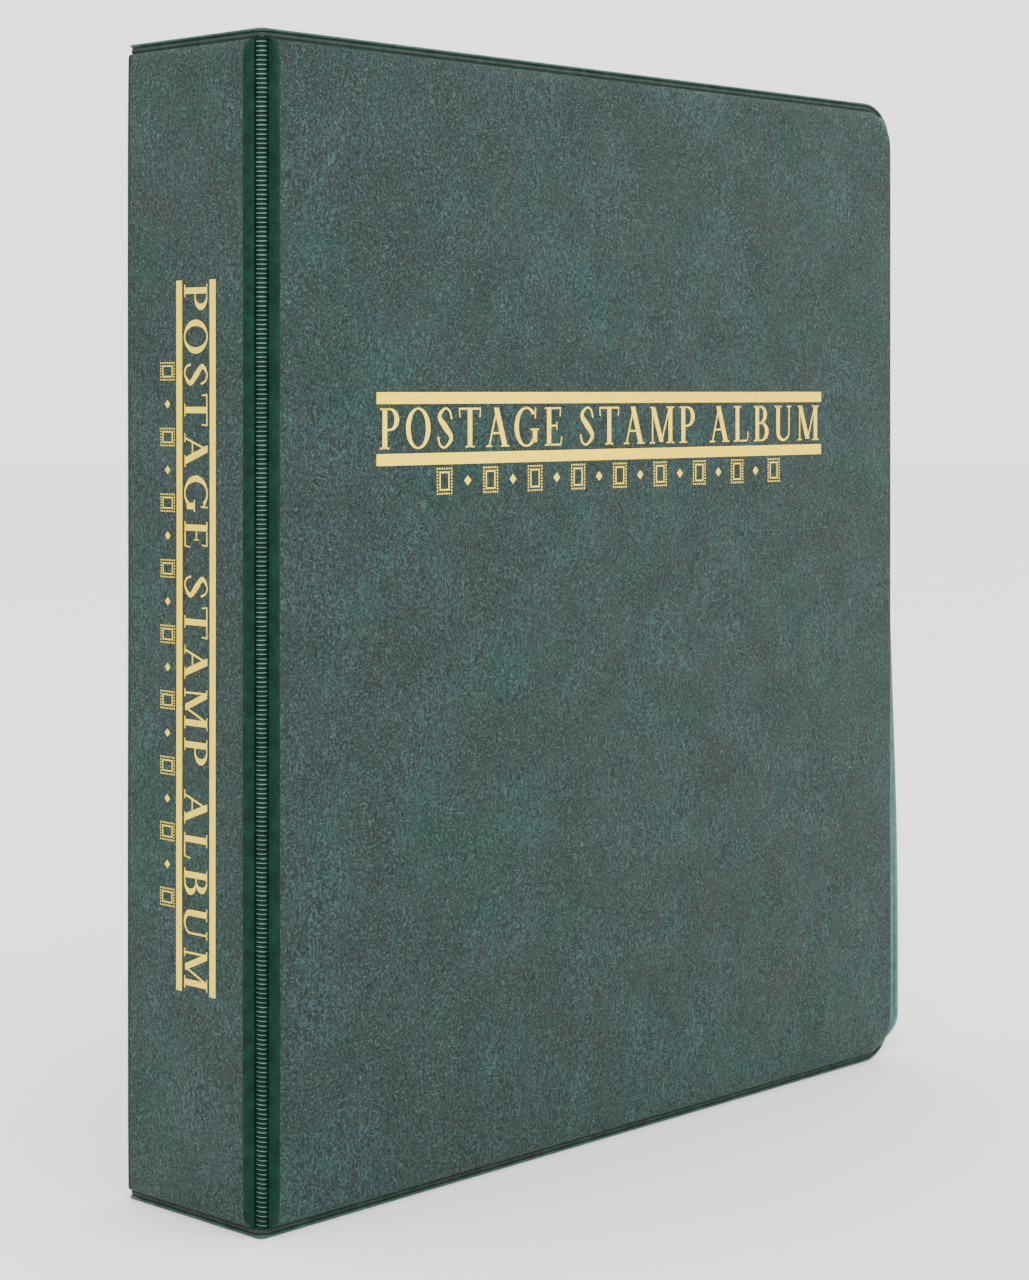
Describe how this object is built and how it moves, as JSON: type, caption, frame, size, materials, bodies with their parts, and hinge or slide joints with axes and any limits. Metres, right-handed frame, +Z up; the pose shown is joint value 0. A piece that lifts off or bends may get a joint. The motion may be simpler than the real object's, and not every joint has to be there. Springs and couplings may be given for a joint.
{
  "type": "stamp album",
  "caption": "Closed three-ring stamp album: leatherette case with welded edges and ribbed creases, D-ring mechanism, punched pages and turning leaves.",
  "frame": {"origin": "middle of the closed album's base, on the surface that it stands on", "axes": "+Z up along the spine, +X from the spine to the fore edge, -Y out of the front cover"},
  "size_m": [0.261, 0.0578, 0.2921],
  "materials": {
    "leatherette": "dark green grained vinyl leatherette, satin",
    "crease_vinyl": "dark green vinyl, pressed and ribbed",
    "liner_vinyl": "dark green fine-grained vinyl",
    "chipboard": "raw grey-brown board",
    "nickel": "bright nickel plate",
    "paper": "cream album paper",
    "gold_foil": "hot-stamped gold foil on the vinyl"
  },
  "bodies": {
    "back_cover": {"back_skin": "leatherette", "back_board": "chipboard", "back_liner": "liner_vinyl", "ring_sheath": "nickel", "rivet_bottom": "nickel", "rivet_top": "nickel"},
    "spine": {"spine_skin": "leatherette", "spine_board": "chipboard", "spine_liner": "liner_vinyl", "front_crease": "crease_vinyl", "back_crease": "crease_vinyl"},
    "front_cover": {"front_skin": "leatherette", "front_board": "chipboard", "front_liner": "liner_vinyl"},
    "ring_posts": {"post_blade": "nickel", "ring_post_bottom": "nickel", "ring_post_middle": "nickel", "ring_post_top": "nickel"},
    "ring_bows": {"bow_blade": "nickel", "ring_bow_bottom": "nickel", "ring_bow_middle": "nickel", "ring_bow_top": "nickel"},
    "lever_bottom": {"trigger_bottom": "nickel"},
    "lever_top": {"trigger_top": "nickel"},
    "page_stack": {"pages_back": "paper", "pages_middle": "paper", "pages_front": "paper"},
    "turning_leaf_1": {"leaf_1": "paper"},
    "turning_leaf_2": {"leaf_2": "paper"},
    "turning_leaf_3": {"leaf_3": "paper"}
  },
  "joints": [
    {"name": "spine_fold", "type": "hinge", "parent": "back_cover", "child": "spine", "pos_m": [-0.1276, 0.02475, 0.14605], "axis": [0, 0, -1], "range_deg": [0, 175], "deforming": ["back_crease"]},
    {"name": "cover_fold", "type": "hinge", "parent": "spine", "child": "front_cover", "pos_m": [-0.1276, -0.02595, 0.14605], "axis": [0, 0, -1], "range_deg": [0, 175], "deforming": ["front_crease"]},
    {"name": "ring_open", "type": "hinge", "parent": "back_cover", "child": "ring_posts", "pos_m": [-0.0825, 0.02175, 0.14605], "axis": [0, 0, 1], "range_deg": [0, 12]},
    {"name": "bow_open", "type": "hinge", "parent": "back_cover", "child": "ring_bows", "pos_m": [-0.1025, 0.02175, 0.14605], "axis": [0, 0, -1], "range_deg": [0, 12]},
    {"name": "trigger_bottom_press", "type": "hinge", "parent": "back_cover", "child": "lever_bottom", "pos_m": [-0.0925, 0.02045, 0.01155], "axis": [1, 0, 0], "range_deg": [0, 19.2]},
    {"name": "trigger_top_press", "type": "hinge", "parent": "back_cover", "child": "lever_top", "pos_m": [-0.0925, 0.02045, 0.28055], "axis": [-1, 0, 0], "range_deg": [0, 19.2]},
    {"name": "page_stack_slide", "type": "slide", "parent": "back_cover", "child": "page_stack", "axis": [1, 0, 0], "range_m": [0, 0.001]},
    {"name": "leaf_1_turn", "type": "hinge", "parent": "page_stack", "child": "turning_leaf_1", "pos_m": [-0.101, 0.00065, 0.14605], "axis": [0, 0, -1], "range_deg": [0, 81]},
    {"name": "leaf_2_turn", "type": "hinge", "parent": "page_stack", "child": "turning_leaf_2", "pos_m": [-0.101, 0.00065, 0.14605], "axis": [0, 0, -1], "range_deg": [0, 104.4]},
    {"name": "leaf_3_turn", "type": "hinge", "parent": "page_stack", "child": "turning_leaf_3", "pos_m": [-0.101, 0.00065, 0.14605], "axis": [0, 0, -1], "range_deg": [0, 126]}
  ],
  "couplings": [
    {"joint": "bow_open", "follows": "ring_open", "ratio": 1},
    {"joint": "trigger_bottom_press", "follows": "ring_open", "ratio": 1.6},
    {"joint": "trigger_top_press", "follows": "ring_open", "ratio": 1.6},
    {"joint": "leaf_1_turn", "follows": "cover_fold", "ratio": 0.45},
    {"joint": "leaf_2_turn", "follows": "cover_fold", "ratio": 0.58},
    {"joint": "leaf_3_turn", "follows": "cover_fold", "ratio": 0.7}
  ]
}
